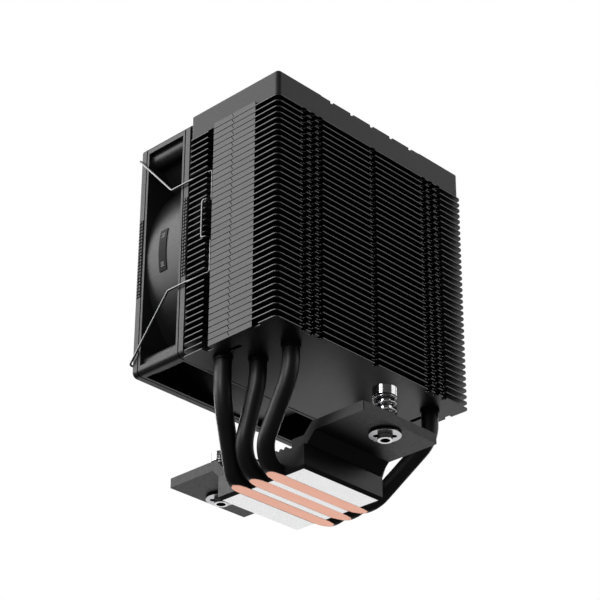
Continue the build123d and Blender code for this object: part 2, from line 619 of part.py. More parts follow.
def shaft_retainer():
    """The ring that keeps the shaft in its bearing."""
    neck_y = SEAT_FRONT_Y - 0.9
    return fan_ring(RETAINER_R, SHAFT_R - 0.32, neck_y - RETAINER_T + 0.05, neck_y - 0.05)


def bearing_sleeve():
    """The plain bearing pressed into the tube."""
    return fan_ring(SLEEVE_R, SHAFT_R + SHAFT_FIT, SEAT_FRONT_Y - TUBE_LEN, SEAT_FRONT_Y - RETAINER_T - 1.2)


def core_span():
    """Front and rear Y of the laminated core."""
    rear = SEAT_FRONT_Y - BOARD_T - 2.4
    return rear - CORE_H, rear


def stator_core():
    """The four-pole laminated core on the bearing tube."""
    front, rear = core_span()
    hub = TUBE_R + ROTOR_FIT
    core = fan_ring(hub + 1.8, hub, front, rear)
    for number in range(CORE_POLES):
        length = CORE_R - hub - 1.0
        place = Pos(hub + 0.9 + length / 2, (front + rear) / 2, FAN_CENTRE_Z)
        arm = place * Box(length, CORE_H, 0.5 * POLE_W)
        shoe = Pos(CORE_R - 1.5, (front + rear) / 2, FAN_CENTRE_Z) * Box(3.2, CORE_H, 3 * POLE_W)
        rim = fan_ring(CORE_R, CORE_R - 1.4, front, rear)
        core += about_fan(arm, 360 * number / CORE_POLES)
        core += about_fan(shoe & rim, 360 * number / CORE_POLES)
    return core


def stator_coils():
    """One winding round each pole arm."""
    front, rear = core_span()
    start = TUBE_R + ROTOR_FIT + 2.2
    length = CORE_R - 1.9 - start
    coils = []
    for number in range(CORE_POLES):
        place = Pos(start + length / 2, (front + rear) / 2, FAN_CENTRE_Z)
        coil = Box(length, CORE_H + 2 * COIL_T, 0.5 * POLE_W + 2 * COIL_T)
        coil -= Box(2 * length, CORE_H + 0.06, 0.5 * POLE_W + 0.06)
        coils.append(about_fan(place * coil, 360 * number / CORE_POLES).solid())
    return group(coils)


def circuit_board():
    """The driver board on the motor seat."""
    return fan_ring(BOARD_R, TUBE_R + ROTOR_FIT, SEAT_FRONT_Y - BOARD_T, SEAT_FRONT_Y)


def hub_label():
    """The blank sticker on the hub's face."""
    return fan_cylinder(HUB_R - 3.2, HUB_FRONT_Y - LABEL_T, HUB_FRONT_Y)


# ---------------------------------------------------------------- fan clips
def gap_middle(number):
    """Height of the middle of a gap between two fins."""
    return STACK_BOTTOM_Z + number * FIN_PITCH + (FIN_THICKNESS + FIN_PITCH) / 2


def clip_half(up):
    """Half of the +X wire, from the hook's tip to the grip; up is 1 or -1 for the upper or lower half."""
    reach = WIRE_GAP + WIRE_R
    front, side, outside = FAN_FRONT_Y - reach, FAN_SIZE / 2 + reach, FIN_WIDTH / 2 + reach
    hold_x = FIN_WIDTH / 2 - CLIP_GROOVE_D + reach
    groove_front = TAB_START_Y - CLIP_GROOVE_W
    hold_y, grip_y = groove_front + reach, groove_front - CLIP_HANDLE_FORWARD - WIRE_R
    hole = FAN_HOLE_SPACING / 2
    hook_z = FAN_CENTRE_Z + up * hole
    arms = gap_middle(CLIP_LOWER_GAP), gap_middle(CLIP_UPPER_GAP)
    arm_z = arms[1] if up > 0 else arms[0]
    grip_z = sum(arms) / 2 + up * CLIP_HANDLE_DZ
    return [(hole, FAN_FRONT_Y + HOOK_L, hook_z), (hole, front, hook_z), (side, front, hook_z),
            (side, STACK_FRONT_Y - CLIP_KNEE_FORWARD, arm_z), (side, FAN_REAR_Y, arm_z),
            (hold_x, hold_y, arm_z), (hold_x, hold_y, grip_z),
            (outside, hold_y, grip_z), (outside, grip_y, grip_z)]


def wire_clip(side):
    """One spring wire: hooked in two fan holes, bent round the fan's side and held in the fins' groove."""
    points = clip_half(1) + clip_half(-1)[::-1]
    bends = [CLIP_BEND_R, CLIP_BEND_R, CLIP_KNEE_R, CLIP_SIDE_R] + 4 * [CLIP_BEND_R]
    wire = round_bar(points, bends + bends[::-1], WIRE_R)
    return wire if side > 0 else mirror(wire, about=Plane.YZ)


# ---------------------------------------------------------------- write the sub-parts
os.makedirs("parts", exist_ok=True)

save(fin_stack(), "fin_stack")
save(top_cap(), "top_cap")
for pipe_index in range(3):
    save(heat_pipe(pipe_index), f"heat_pipe_{pipe_index + 1}")
save(base_block(), "base_block")
save(bracket_screws(), "bracket_screws")
for sign, place in ((-1, "front"), (1, "rear")):
    save(bracket(sign), f"bracket_{place}")
    save(spring_screw(sign), f"spring_screw_{place}")
    save(e_clip(sign), f"retaining_clip_{place}")
    save(spring(sign), f"spring_{place}")
save(fan_frame(), "fan_frame")
save(fan_pads(), "fan_pads")
save(barrel_label(), "barrel_label")
save(impeller(), "impeller")
save(rotor_yoke(), "rotor_yoke")
save(magnet_ring(), "magnet_ring")
save(rotor_shaft(), "rotor_shaft")
save(shaft_retainer(), "shaft_retainer")
save(bearing_sleeve(), "bearing_sleeve")
save(stator_core(), "stator_core")
save(stator_coils(), "stator_coils")
save(circuit_board(), "circuit_board")
save(hub_label(), "hub_label")
save(wire_clip(-1), "wire_clip_left")
save(wire_clip(1), "wire_clip_right")
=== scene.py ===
import json
from math import cos, pi, radians, sin, sqrt, tan

import bmesh
import bpy
import numpy as np
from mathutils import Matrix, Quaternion, Vector


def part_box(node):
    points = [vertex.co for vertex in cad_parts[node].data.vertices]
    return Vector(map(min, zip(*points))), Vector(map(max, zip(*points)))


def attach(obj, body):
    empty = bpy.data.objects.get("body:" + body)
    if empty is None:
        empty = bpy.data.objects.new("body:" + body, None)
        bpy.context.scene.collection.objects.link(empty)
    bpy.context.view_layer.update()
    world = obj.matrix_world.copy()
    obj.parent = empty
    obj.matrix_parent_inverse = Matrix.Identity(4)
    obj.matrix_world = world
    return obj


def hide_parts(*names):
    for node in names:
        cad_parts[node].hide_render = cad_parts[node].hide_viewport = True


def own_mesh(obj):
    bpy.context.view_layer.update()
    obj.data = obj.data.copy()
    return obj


# Looks of a single-tower processor cooler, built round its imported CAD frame. Metres, +Z up the tower,
# +Y away from the fan, +X to its side, and Z 0 at the cold face.

MM = 0.001
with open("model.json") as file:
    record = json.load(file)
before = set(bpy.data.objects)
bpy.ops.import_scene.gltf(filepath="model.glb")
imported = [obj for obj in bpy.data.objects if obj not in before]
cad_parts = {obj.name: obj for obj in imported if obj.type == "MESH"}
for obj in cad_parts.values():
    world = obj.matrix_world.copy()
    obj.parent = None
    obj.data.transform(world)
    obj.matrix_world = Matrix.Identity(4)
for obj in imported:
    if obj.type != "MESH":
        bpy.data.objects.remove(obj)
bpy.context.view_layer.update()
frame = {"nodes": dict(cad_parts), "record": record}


def corners_of(node):
    """A node's lowest and highest corner as arrays."""
    low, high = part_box(node)
    return np.array(low), np.array(high)


# ---------------------------------------------------------------- places taken from the frame
stack_low, stack_high = corners_of("fin_stack")
fan_low, fan_high = corners_of("fan_frame")
# the collars round the pipes hang below the lowest fin
COLLAR_HEIGHT = 1.4 * MM
STACK_BOTTOM = stack_low[2] + COLLAR_HEIGHT
TOWER_Y = (stack_low[1] + stack_high[1]) / 2
BASE_Z = corners_of("base_block")[0][2]
FAN_Z = (fan_low[2] + fan_high[2]) / 2
FAN_FRONT = fan_low[1]
FAN_REAR = fan_high[1]
FAN_HALF = (fan_high[0] - fan_low[0]) / 2

# ---------------------------------------------------------------- sizes repeated from the CAD model
PIPE_R = 3.0 * MM
PIPE_PITCH = 7.9 * MM
PIPE_Z = 1.497 * MM
TIP_R = 1.1 * MM
TIP_TAPER = 2.6 * MM
# half of a pipe: foot corner X, leg corner Z, foot radius, leg radius, leg X, leg Y from the stack's centre
LEG_OUTER = np.array([23.2, 24.0, 8.4, 23.0, 38.85, -11.6]) * MM
LEG_MIDDLE = np.array([29.6, 30.9, 12.7, 26.0, 30.05, -3.9]) * MM
LEG_INNER = np.array([28.6, 28.8, 11.8, 22.0, 30.05, 11.3]) * MM
LEG_INNER_FAR = np.array([28.6, 28.8, 11.8, 22.0, 30.05, -11.3]) * MM
LEG_MIDDLE_FAR = np.array([29.6, 30.9, 12.7, 26.0, 30.05, -0.3]) * MM
LEG_OUTER_FAR = np.array([24.5, 27.7, 13.0, 15.2, 38.85, 11.6]) * MM

WIRE_R = 0.4 * MM
WIRE_GAP = 0.35 * MM
HOOK = 1.0 * MM
HOLE_HALF = 41.25 * MM
FIN_PITCH = 2.37 * MM
FIN_THICKNESS = 0.4 * MM
# heights on a fin's edge between which it is burnished, and where the folded side tabs cover the edges
BURNISH_FROM, BURNISH_TO = 0.19 * MM, 0.385 * MM
TAB_START_Y, TAB_END_Y = 4.0 * MM, 24.3 * MM
TAB_INNER_X = 47.3 * MM
# the gaps between fins, counted from the bottom, that a clip's two arms run through
CLIP_UPPER_GAP = 29
CLIP_LOWER_GAP = 12
CLIP_KNEE = 9.5 * MM
CLIP_GRIP = 7.4 * MM
GROOVE_FRONT_Y = 1.1 * MM
GROOVE_DEPTH = 2.6 * MM
GRIP_FORWARD = 0.7 * MM
CLIP_BENDS = [0.8 * MM, 0.8 * MM, 1.5 * MM, 10.0 * MM] + 4 * [0.8 * MM]

# a spring's coil radius, wire radius, turns, share closed at each end, and how much of its rise is eased
SPRING_R = 3.45 * MM
SPRING_WIRE = 0.45 * MM
SPRING_TURNS = 5.0
SPRING_CLOSED = 0.17
SPRING_EASED = 0.15
SCREW_Y = 38.4 * MM

# route step of the pipes and of the clips, points of a spring, and corners round each tube
PIPE_STEP, WIRE_STEP, SPRING_POINTS = 0.7 * MM, 0.25 * MM, 420
PIPE_SIDES, WIRE_SIDES, SPRING_SIDES = 40, 14, 12
BOX_CORNERS = 8
SMOOTH_ANGLE = 35
# no route starts in this direction, so a vector square to both always exists
OFF_AXIS = (0.31, 0.87, 0.38)

# raised squares on the flange strips of the fan's two sides
GRIP_PITCH = 1.3 * MM
GRIP_SIDE = 0.75 * MM
GRIP_STAND = 0.22 * MM
# how far a thin dark matt sheet under the squares stands out: painted shade that darkens the gaps between
# them
SHADE_SHEET_STAND = 0.03 * MM
GRIP_HALF_LENGTH = 15.0 * MM
GRIP_COLUMNS = 2
GRIP_NARROW = 0.8
FLANGE_STRIP = 2.2 * MM
FLANGE_T = 3.6 * MM
POST_R = 3.3 * MM
WEB_HALF_T = 0.6 * MM
DUCT_OUTER_R = 45.2 * MM
LABEL_T = 0.3 * MM
LABEL_HALF_LENGTH = 8.3 * MM
LABEL_HALF_WIDTH = 1.8 * MM
# shares: the label's place along the duct, its bars' places on each half of it, and their lengths
LABEL_ALONG = 0.48
BAR_PLACES = np.array([0.62, 0.70, 0.78])
BAR_LENGTHS = np.array([0.45, 0.3, 0.45])
BAR_STAND, BAR_HALF_WIDTH = 0.03 * MM, 0.14 * MM


# ---------------------------------------------------------------- mesh helpers
def rounded_route(corners, radii, step):
    """Points along straight runs joined by tangent arcs: each arc is centre + radius * (cosine and sine
    of the turned angle) in the plane of its two runs."""
    corners = np.array(corners, float)
    points = [corners[0]]
    for before, corner, after, radius in zip(corners, corners[1:], corners[2:], radii):
        back = (before - corner) / np.linalg.norm(before - corner)
        ahead = (after - corner) / np.linalg.norm(after - corner)
        half = (pi - np.arccos(np.clip(back @ ahead, -1, 1))) / 2
        first = corner + back * radius * tan(half)
        centre = corner + (back + ahead) / np.linalg.norm(back + ahead) * radius / cos(half)
        out = (first - centre) / radius
        angles = np.linspace(0, 2 * half, max(4, int(2 * half * radius / step)))[:, None]
        points.extend(centre + radius * (np.cos(angles) * out - np.sin(angles) * back))
    points.append(corners[-1])
    return densify(np.array(points), step)


def densify(points, step):
    """The same route with extra points on its long runs."""
    out = [points[:1]]
    for start, end in zip(points, points[1:]):
        count = max(1, int(np.linalg.norm(end - start) / (4 * step)))
        out.append(start + (end - start) * (np.arange(1, count + 1) / count)[:, None])
    return np.concatenate(out)


def side_vectors(points):
    """Two unit vectors square to the route at each point, carried along without twist."""
    along = np.gradient(points, axis=0)
    along /= np.linalg.norm(along, axis=1)[:, None]
    start = np.cross(along[0], OFF_AXIS)
    sides = [start / np.linalg.norm(start)]
    for direction in along[1:]:
        side = sides[-1] - direction * (sides[-1] @ direction)
        sides.append(side / np.linalg.norm(side))
    sides = np.array(sides)
    return sides, np.cross(along, sides)


def swept(points, radii, sides):
    """Rings of a tube: route point + radius * (cosine * one side vector + sine * the other)."""
    turn = np.linspace(0, 2 * pi, sides, endpoint=False)[None, :, None]
    one, two = side_vectors(points)
    radii = np.broadcast_to(radii, len(points))[:, None, None]
    return points[:, None] + radii * (np.cos(turn) * one[:, None] + np.sin(turn) * two[:, None])


def grid_faces(rows, columns, wrap, first=0):
    """Quads of a grid of rows by columns, joined round its columns when wrap is set."""
    row = np.arange(rows - 1)[:, None]
    column = np.arange(columns if wrap else columns - 1)[None, :]
    beside = (column + 1) % columns
    quads = np.stack([row * columns + column, row * columns + beside,
                      (row + 1) * columns + beside, (row + 1) * columns + column], axis=-1)
    return (quads.reshape(-1, 4) + first).tolist()


def new_piece(name, points, faces, body, material):
    """Puts points and faces into a mesh, shades it smooth up to an angle and hangs it on a body."""
    mesh = bpy.data.meshes.new(name)
    mesh.from_pydata(np.asarray(points).reshape(-1, 3).tolist(), [], faces)
    mesh.validate()
    piece = bpy.data.objects.new(name, mesh)
    bpy.context.scene.collection.objects.link(piece)
    out_facing(mesh)
    mesh.polygons.foreach_set("use_smooth", np.ones(len(mesh.polygons), bool))
    mesh.set_sharp_from_angle(angle=radians(SMOOTH_ANGLE))
    mesh.materials.append(material)
    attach(piece, body)
    return piece


def out_facing(mesh):
    """Turns every face outwards."""
    work = bmesh.new()
    work.from_mesh(mesh)
    bmesh.ops.recalc_face_normals(work, faces=work.faces)
    work.to_mesh(mesh)
    work.free()


def tube_piece(name, points, radii, sides, body, material, shape=None):
    """A closed tube along a route, with an end cap at each end; shape may press its rings."""
    rings = swept(points, radii, sides)
    if shape:
        rings = shape(rings)
    rows = len(rings)
    faces = grid_faces(rows, sides, True)
    faces.append(list(range(sides))[::-1])
    faces.append(list(range((rows - 1) * sides, rows * sides)))
    return new_piece(name, rings, faces, body, material)


# ---------------------------------------------------------------- material helpers
NOISE_RANGE = 0.3, 0.7
GROUND_BELOW = 0.03 * MM
EDGE_FROM = 0.01 * MM
TORN_ROUGHNESS = 0.85
WINDING_WAVES = 900
WHITE = (1, 1, 1, 1)


class Look:
    """A node material on Object coordinates, built step by step."""

    def __init__(self, name, color, metallic=0.0, roughness=0.5):
        self.material = bpy.data.materials.new(name)
        self.material.use_nodes = True
        self.tree = self.material.node_tree
        self.shader = self.tree.nodes["Principled BSDF"]
        self.place = self.add("ShaderNodeTexCoord").outputs["Object"]
        self.shader.inputs["Base Color"].default_value = (*color, 1)
        self.shader.inputs["Metallic"].default_value = metallic
        self.shader.inputs["Roughness"].default_value = roughness

    def add(self, kind, **settings):
        node = self.tree.nodes.new(kind)
        for key, value in settings.items():
            setattr(node, key, value)
        return node

    def link(self, output, socket):
        self.tree.links.new(output, socket)

    def mapped(self, scale):
        """Object coordinates stretched by three factors."""
        node = self.add("ShaderNodeMapping")
        node.inputs["Scale"].default_value = scale
        self.link(self.place, node.inputs["Vector"])
        return node.outputs["Vector"]

    def noise(self, scale, detail=3, stretch=None):
        """Noise from 0 to 1; scale is in blobs per metre."""
        node = self.add("ShaderNodeTexNoise")
        node.inputs["Scale"].default_value = scale
        node.inputs["Detail"].default_value = detail
        self.link(self.mapped(stretch) if stretch else self.place, node.inputs["Vector"])
        return node.outputs["Fac"]

    def spread(self, value, low, high):
        """The range where most of a noise lies, brought to another range."""
        node = self.add("ShaderNodeMapRange")
        node.inputs["To Min"].default_value = low
        node.inputs["To Max"].default_value = high
        node.inputs["From Min"].default_value, node.inputs["From Max"].default_value = NOISE_RANGE
        self.link(value, node.inputs["Value"])
        return node.outputs["Result"]

    def colors(self, value, one, two):
        """Base colour between two colours."""
        self.link(self.blend_color(value, one, two), self.shader.inputs["Base Color"])

    def blend_color(self, value, one, two):
        """Mixes two colours, each given as numbers or as another node's output."""
        node = self.add("ShaderNodeMix", data_type="RGBA")
        self.link(value, node.inputs["Factor"])
        for socket, color in ((node.inputs[6], one), (node.inputs[7], two)):
            if isinstance(color, tuple):
                socket.default_value = (*color, 1)
            else:
                self.link(color, socket)
        return node.outputs[2]

    def rough(self, value, low, high):
        """Roughness between two numbers by a noise."""
        self.link(self.spread(value, low, high), self.shader.inputs["Roughness"])

    def bump(self, value, depth):
        """Bumps the surface to a depth in metres."""
        node = self.add("ShaderNodeBump")
        node.inputs["Distance"].default_value = depth
        self.link(value, node.inputs["Height"])
        self.link(node.outputs["Normal"], self.shader.inputs["Normal"])

    def axes(self):
        """The three object coordinates as separate values."""
        node = self.add("ShaderNodeSeparateXYZ")
        self.link(self.place, node.inputs["Vector"])
        return node.outputs

    def math(self, operation, *values):
        """One sum on plain numbers or outputs."""
        node = self.add("ShaderNodeMath", operation=operation)
        for socket, value in zip(node.inputs, values):
            if isinstance(value, (int, float)):
                socket.default_value = value
            else:
                self.link(value, socket)
        return node.outputs["Value"]

    def below(self, level):
        """1 where the object's own height is under a level, else 0."""
        return self.math("LESS_THAN", self.axes()["Z"], level)

    def mix_value(self, value, one, two):
        """Between two plain numbers or outputs by a 0 to 1 value."""
        node = self.add("ShaderNodeMix", data_type="FLOAT")
        self.link(value, node.inputs["Factor"])
        for socket, number in ((node.inputs[2], one), (node.inputs[3], two)):
            if isinstance(number, float):
                socket.default_value = number
            else:
                self.link(number, socket)
        return node.outputs[0]


def fin_coat():
    """Thin black coat on rolled aluminium: fine rolling lines, slightly uneven gloss. The blanked edge of
    each fin is burnished in its upper half, where the coat is thin, and torn and matt in its lower half."""
    look = Look("fin coat", (0.012, 0.012, 0.013), roughness=0.36)
    coat = look.blend_color(look.noise(90, 4), (0.009, 0.009, 0.010), (0.017, 0.017, 0.018))
    bright = look.blend_color(look.noise(300, 2), (0.11, 0.11, 0.112), (0.15, 0.15, 0.152))
    place = look.axes()
    level = look.math("FLOORED_MODULO", look.math("SUBTRACT", place["Z"], STACK_BOTTOM), FIN_PITCH)
    in_edge = look.math("MULTIPLY", look.math("GREATER_THAN", level, EDGE_FROM),
                        look.math("LESS_THAN", level, BURNISH_TO))
    in_tabs = look.math("MULTIPLY", look.math("GREATER_THAN", place["Y"], TAB_START_Y),
                        look.math("LESS_THAN", place["Y"], TAB_END_Y))
    far_out = look.math("GREATER_THAN", look.math("ABSOLUTE", place["X"]), TAB_INNER_X)
    in_tabs = look.math("MULTIPLY", in_tabs, far_out)
    edge = look.math("MULTIPLY", in_edge, look.math("SUBTRACT", 1.0, in_tabs))
    burnished = look.math("MULTIPLY", edge, look.math("GREATER_THAN", level, BURNISH_FROM))
    look.link(look.blend_color(burnished, coat, bright), look.shader.inputs["Base Color"])
    look.link(burnished, look.shader.inputs["Metallic"])
    gloss = look.spread(look.noise(700, 2, (1, 0.2, 1)), 0.35, 0.39)
    torn = look.mix_value(edge, gloss, TORN_ROUGHNESS)
    look.link(look.mix_value(burnished, torn, gloss), look.shader.inputs["Roughness"])
    look.bump(look.noise(9000, 2, (0.3, 1, 1)), 0.004 * MM)
    return look.material


def cap_satin():
    """Satin dark coat with a fine blasted grain."""
    look = Look("cap satin", (0.02, 0.02, 0.021), roughness=0.42)
    look.shader.inputs["Specular IOR Level"].default_value = 0.3
    look.colors(look.noise(60, 3), (0.016, 0.016, 0.017), (0.024, 0.024, 0.025))
    look.rough(look.noise(1500, 3), 0.38, 0.46)
    look.bump(look.noise(6000, 3), 0.006 * MM)
    return look.material


def pipe_coat():
    """Satin black coat on the pipes; ground bare copper where they meet the cold face."""
    look = Look("pipe coat", (0.01, 0.01, 0.01), roughness=0.4)
    flat = look.below(GROUND_BELOW)
    copper = look.blend_color(look.noise(220, 4, (0.25, 1, 1)), (0.94, 0.46, 0.33), (0.99, 0.545, 0.41))
    coat = look.blend_color(look.noise(120, 3), (0.007, 0.007, 0.007), (0.013, 0.013, 0.013))
    look.link(look.blend_color(flat, coat, copper), look.shader.inputs["Base Color"])
    look.link(flat, look.shader.inputs["Metallic"])
    gloss = look.spread(look.noise(500, 3), 0.38, 0.46)
    ground = look.spread(look.noise(2500, 2, (0.03, 1, 1)), 0.30, 0.38)
    look.link(look.mix_value(flat, gloss, ground), look.shader.inputs["Roughness"])
    look.bump(look.noise(1200, 2), 0.004 * MM)
    return look.material


def block_finish():
    """Black anodised block with a milled, bright underside."""
    look = Look("block finish", (0.015, 0.015, 0.015), roughness=0.4)
    flat = look.below(GROUND_BELOW)
    bright = look.blend_color(look.noise(90, 3, (0.2, 1, 1)), (0.905, 0.905, 0.91), (0.925, 0.925, 0.925))
    dark = look.blend_color(look.noise(150, 3), (0.012, 0.012, 0.012), (0.02, 0.02, 0.02))
    look.link(look.blend_color(flat, dark, bright), look.shader.inputs["Base Color"])
    look.link(flat, look.shader.inputs["Metallic"])
    matt = look.spread(look.noise(900, 3), 0.36, 0.48)
    milled = look.spread(look.noise(3500, 2, (0.02, 1, 1)), 0.25, 0.29)
    look.link(look.mix_value(flat, matt, milled), look.shader.inputs["Roughness"])
    look.bump(look.noise(4000, 2, (0.02, 1, 1)), 0.0004 * MM)
    return look.material


def bracket_paint():
    """Black powder paint with a soft orange peel."""
    look = Look("bracket paint", (0.02, 0.02, 0.02), roughness=0.4)
    look.shader.inputs["Specular IOR Level"].default_value = 0.34
    look.colors(look.noise(80, 3), (0.014, 0.014, 0.014), (0.022, 0.022, 0.022))
    look.rough(look.noise(900, 3), 0.34, 0.46)
    look.bump(look.noise(1600, 2), 0.012 * MM)
    return look.material


def bright_nickel():
    """Polished nickel plate with faint turning lines."""
    look = Look("bright nickel", (0.72, 0.72, 0.73), metallic=1.0, roughness=0.12)
    look.colors(look.noise(400, 3), (0.66, 0.66, 0.68), (0.78, 0.78, 0.78))
    look.rough(look.noise(3000, 2, (0.2, 0.2, 2)), 0.08, 0.2)
    look.bump(look.noise(5000, 2, (0.1, 0.1, 1)), 0.003 * MM)
    return look.material


def spring_wire():
    """Drawn bright steel wire."""
    look = Look("spring wire", (0.55, 0.55, 0.56), metallic=1.0, roughness=0.22)
    look.colors(look.noise(500, 3), (0.48, 0.48, 0.50), (0.62, 0.62, 0.63))
    look.rough(look.noise(1500, 3), 0.16, 0.3)
    look.bump(look.noise(6000, 2), 0.002 * MM)
    return look.material


def moulded_plastic(name, dark, light, rough_low, rough_high):
    """Black moulded plastic with a fine spark-eroded grain."""
    look = Look(name, dark, roughness=rough_low)
    look.colors(look.noise(70, 3), dark, light)
    look.rough(look.noise(1100, 3), rough_low, rough_high)
    look.bump(look.noise(5200, 3), 0.006 * MM)
    return look.material


def pad_rubber():
    """Matt black rubber."""
    look = Look("pad rubber", (0.012, 0.012, 0.012), roughness=0.75)
    look.colors(look.noise(200, 3), (0.010, 0.010, 0.010), (0.018, 0.018, 0.018))
    look.rough(look.noise(900, 3), 0.7, 0.85)
    look.bump(look.noise(2500, 3), 0.01 * MM)
    return look.material


def blank_label():
    """Dark matt foil."""
    look = Look("blank label", (0.01, 0.01, 0.011), roughness=0.3)
    look.shader.inputs["Specular IOR Level"].default_value = 0.06
    look.colors(look.noise(250, 2), (0.006, 0.006, 0.006), (0.012, 0.012, 0.013))
    look.rough(look.noise(1500, 2), 0.26, 0.36)
    look.bump(look.noise(2500, 2), 0.002 * MM)
    return look.material


def plain_metal(name, one, two, low, high):
    """A metal with cloudy colour and uneven gloss."""
    look = Look(name, one, metallic=1.0, roughness=low)
    look.colors(look.noise(300, 3), one, two)
    look.rough(look.noise(1200, 3), low, high)
    look.bump(look.noise(3000, 2), 0.004 * MM)
    return look.material


def winding():
    """Enamelled copper turns lying side by side."""
    look = Look("winding", (0.5, 0.2, 0.07), metallic=0.8, roughness=0.3)
    look.colors(look.noise(500, 3), (0.42, 0.15, 0.05), (0.6, 0.26, 0.1))
    wave = look.add("ShaderNodeTexWave", bands_direction="X")
    wave.inputs["Scale"].default_value = WINDING_WAVES
    look.link(look.place, wave.inputs["Vector"])
    look.bump(wave.outputs["Fac"], 0.1 * MM)
    return look.material


def board_lacquer():
    """Green lacquer over a woven board."""
    look = Look("board lacquer", (0.01, 0.09, 0.03), roughness=0.3)
    look.colors(look.noise(350, 4), (0.008, 0.07, 0.025), (0.015, 0.11, 0.04))
    look.rough(look.noise(900, 2), 0.25, 0.4)
    look.bump(look.noise(1800, 2), 0.01 * MM)
    return look.material


LOOKS = {
    "black_fin": fin_coat(),
    "cap_satin": cap_satin(),
    "black_pipe": pipe_coat(),
    "base_aluminium": block_finish(),
    "black_steel": bracket_paint(),
    "chrome_screw": bright_nickel(),
    "spring_steel": spring_wire(),
    "fan_plastic": moulded_plastic("fan plastic", (0.012, 0.012, 0.013), (0.018, 0.018, 0.019),
                                   0.36, 0.46),
    "blade_plastic": moulded_plastic("blade plastic", (0.010, 0.010, 0.011), (0.016, 0.016, 0.017),
                                     0.3, 0.42),
    "pad_rubber": pad_rubber(),
    "label_foil": blank_label(),
    "yoke_steel": plain_metal("yoke steel", (0.42, 0.42, 0.43), (0.5, 0.5, 0.51), 0.25, 0.4),
    "magnet": moulded_plastic("magnet", (0.03, 0.028, 0.027), (0.045, 0.042, 0.04), 0.5, 0.65),
    "bronze": plain_metal("bronze", (0.5, 0.32, 0.14), (0.6, 0.4, 0.2), 0.3, 0.45),
    "core_steel": plain_metal("core steel", (0.3, 0.3, 0.31), (0.38, 0.38, 0.39), 0.35, 0.5),
    "clip_steel": plain_metal("clip steel", (0.20, 0.20, 0.205), (0.27, 0.27, 0.275), 0.22, 0.34),
    "copper_wire": winding(),
    "board": board_lacquer(),
}

PRINT = moulded_plastic("label print", (0.22, 0.22, 0.22), (0.3, 0.3, 0.3), 0.5, 0.6)
# near-black matt sheet under the grip squares: painted shade in the gaps between them
GRIP_PAINTED_SHADE = moulded_plastic("grip painted shade", (0.004, 0.004, 0.004), (0.007, 0.007, 0.007), 0.6, 0.75)
GRIP_PAINTED_SHADE.node_tree.nodes["Principled BSDF"].inputs["Specular IOR Level"].default_value = 0.03


def dress_frame():
    """Every CAD node takes the look of its material slot."""
    for row in frame["record"]["subparts"]:
        mesh = frame["nodes"][row["node"]].data
        mesh.materials.clear()
        mesh.materials.append(LOOKS[row["material_slot"]])


# ---------------------------------------------------------------- heat pipes
def pipe_route(index):
    """Centre line of one pipe, from its -X tip through the base to its +X tip."""
    legs = [(LEG_OUTER, LEG_INNER_FAR), (LEG_MIDDLE, LEG_MIDDLE_FAR), (LEG_INNER, LEG_OUTER_FAR)]
    top = corners_of(f"heat_pipe_{index + 1}")[1][2]
    y = (index - 1) * PIPE_PITCH
    ends, radii = [], []
    for side, (foot_x, corner_z, foot_r, leg_r, x, dy) in zip((1, -1), legs[index]):
        place = (side * x, TOWER_Y + dy)
        ends.append([(side * foot_x, y, PIPE_Z), (*place, corner_z), (*place, top)])
        radii.append([foot_r, leg_r])
    return rounded_route(ends[1][::-1] + ends[0], radii[1][::-1] + radii[0], PIPE_STEP)


def press_flat(rings):
    """Presses everything below the cold face up to it, which leaves the ground flat."""
    rings[..., 2] = np.maximum(rings[..., 2], 0)
    return rings


def heat_pipes():
    """Three smooth tubes with swaged tips and a ground flat."""
    for index in range(3):
        node = f"heat_pipe_{index + 1}"
        points = pipe_route(index)
        drop = points[0][2] - points[:, 2]
        taper = np.clip(drop / TIP_TAPER, 0, 1)
        radii = TIP_R + (PIPE_R - TIP_R) * taper
        pipe = tube_piece(f"{node}_tube", points, radii, PIPE_SIDES, "tower",
                          LOOKS["black_pipe"], press_flat)
        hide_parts(node)


# ---------------------------------------------------------------- wire clips
def gap_middle(number):
    """Height of the middle of a gap between two fins."""
    return STACK_BOTTOM + number * FIN_PITCH + (FIN_THICKNESS + FIN_PITCH) / 2


def clip_half(up):
    """Corners of half of the +X wire, from its hook to its grip."""
    reach = WIRE_GAP + WIRE_R
    front, side, outside = FAN_FRONT - reach, FAN_HALF + reach, stack_high[0] + reach
    hold_x, hold_y = stack_high[0] - GROOVE_DEPTH + reach, GROOVE_FRONT_Y + reach
    grip_y = GROOVE_FRONT_Y - GRIP_FORWARD - WIRE_R
    hook_z = FAN_Z + up * HOLE_HALF
    arms = gap_middle(CLIP_LOWER_GAP), gap_middle(CLIP_UPPER_GAP)
    arm_z = arms[1] if up > 0 else arms[0]
    grip_z = sum(arms) / 2 + up * CLIP_GRIP
    return [(HOLE_HALF, FAN_FRONT + HOOK, hook_z), (HOLE_HALF, front, hook_z), (side, front, hook_z),
            (side, stack_low[1] - CLIP_KNEE, arm_z), (side, FAN_REAR, arm_z),
            (hold_x, hold_y, arm_z), (hold_x, hold_y, grip_z),
            (outside, hold_y, grip_z), (outside, grip_y, grip_z)]


def wire_clips():
    """The two bent wires that hold the fan; the -X one is the mirror image of the +X one."""
    route = rounded_route(clip_half(1) + clip_half(-1)[::-1], CLIP_BENDS + CLIP_BENDS[::-1], WIRE_STEP)
    for name, sign, body in (("wire_clip_left", -1, "fan_clip_left"),
                             ("wire_clip_right", 1, "fan_clip_right")):
        wire = tube_piece(f"{name}_wire", route * (sign, 1, 1), WIRE_R, WIRE_SIDES, body,
                          LOOKS["clip_steel"])
        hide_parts(name)


